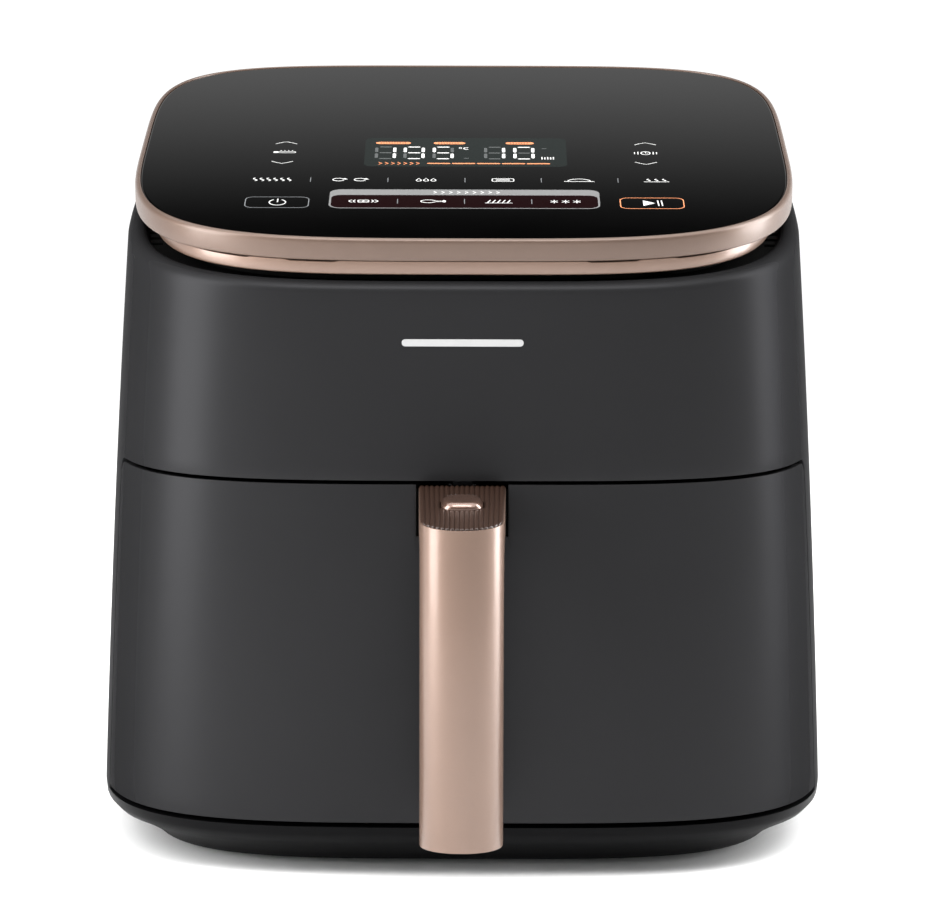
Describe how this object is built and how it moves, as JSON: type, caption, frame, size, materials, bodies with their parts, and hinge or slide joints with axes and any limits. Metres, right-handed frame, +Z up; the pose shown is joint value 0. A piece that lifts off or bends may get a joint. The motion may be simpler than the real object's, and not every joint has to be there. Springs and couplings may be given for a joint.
{
  "type": "air fryer",
  "caption": "Basket-drawer air fryer: tapered rounded-square body, sloping touch-glass lid in a metal rim, hanging front handle with release key, inner fan and coil heater.",
  "frame": {"origin": "on the worktop, under the centre of the bounding box", "axes": "+X is to the right of a person who looks at its front; +Y is to the back; +Z is up. The front with the handle faces -Y"},
  "size_m": [0.3, 0.366, 0.302],
  "materials": {
    "body_satin": "fine satin dark grey",
    "base_black": "satin black",
    "inner_black": "matt black",
    "foot_rubber": "matt",
    "screw_steel": "zinc-plated",
    "liner_steel": "dark non-stick coating",
    "shield_aluminium": "mill finish",
    "heater_steel": "heat-darkened",
    "bush_ceramic": "unglazed",
    "guard_chrome": "bright wire",
    "motor_steel": "plain",
    "board_green": "solder resist",
    "sensor_white": "moulded",
    "rose_metal": "rose-gold satin anodised",
    "black_glass": "polished black glass, opaque from behind",
    "display_dark": "dark filter",
    "wire_red": "silicone insulation",
    "basket_coating": "dark non-stick coating",
    "cap_brown": "dark brown, ribbed",
    "magnet_grey": "sintered",
    "lever_grey": "glass-filled nylon",
    "bumper_silicone": "soft silicone"
  },
  "bodies": {
    "housing": {"body_shell": "body_satin", "base_tray": "base_black", "feet": "foot_rubber", "base_screws": "screw_steel", "cavity_frame": "inner_black", "chamber_liner": "liner_steel", "guide_rail_left": "inner_black", "guide_rail_right": "inner_black", "heat_shield": "shield_aluminium", "heater_coil": "heater_steel", "heater_bushes": "bush_ceramic", "heater_guard": "guard_chrome", "motor_bracket": "shield_aluminium", "fan_motor": "motor_steel", "motor_screws": "screw_steel", "exhaust_duct": "inner_black", "rear_vent": "base_black", "power_board": "board_green", "thermal_cutout": "bush_ceramic", "temp_probe": "screw_steel", "drawer_sensor": "sensor_white", "intake_deck": "inner_black", "deck_screws": "screw_steel", "lid_tray": "inner_black", "lid_trim_ring": "rose_metal", "lid_trim_band": "rose_metal", "touch_glass": "black_glass", "display_module": "display_dark", "touch_board": "board_green", "cord_gland": "foot_rubber", "wiring": "wire_red"},
    "rotor": {"motor_shaft": "screw_steel", "hot_fan": "shield_aluminium", "cooling_fan": "inner_black", "fan_nut": "screw_steel"},
    "drawer": {"drawer_front": "body_satin", "drawer_frame": "inner_black", "basket": "basket_coating", "basket_catch": "screw_steel", "drawer_seal": "foot_rubber", "handle_shell": "rose_metal", "handle_cap": "cap_brown", "handle_back": "inner_black", "handle_screws": "screw_steel", "latch_pin": "screw_steel", "sensor_magnet": "magnet_grey", "latch_spring": "screw_steel"},
    "release_key": {"release_button": "rose_metal"},
    "latch": {"latch_lever": "lever_grey"},
    "plate": {"crisper_plate": "basket_coating", "plate_bumpers": "bumper_silicone"}
  },
  "joints": [
    {"name": "drawer_slide", "type": "slide", "parent": "housing", "child": "drawer", "axis": [0, -1, 0], "range_m": [0, 0.3]},
    {"name": "plate_lift", "type": "slide", "parent": "drawer", "child": "plate", "axis": [0, 0, 1], "range_m": [0, 0.11]},
    {"name": "release_press", "type": "slide", "parent": "drawer", "child": "release_key", "axis": [0, 0.0848, -0.9964], "range_m": [0, 0.0016], "stiffness_N_per_m": 700, "springref_m": -0.0004},
    {"name": "latch_turn", "type": "hinge", "parent": "drawer", "child": "latch", "pos_m": [0, -0.17, 0.1444], "axis": [-1, 0, 0], "range_deg": [0, 4.1], "deforming": ["latch_spring"]},
    {"name": "fan_spin", "type": "hinge", "parent": "housing", "child": "rotor", "pos_m": [0, 0.029, 0.2], "axis": [0, 0, 1], "continuous": true}
  ],
  "couplings": [
    {"joint": "latch_turn", "follows": "release_press", "rad_per_m": 41.885}
  ]
}
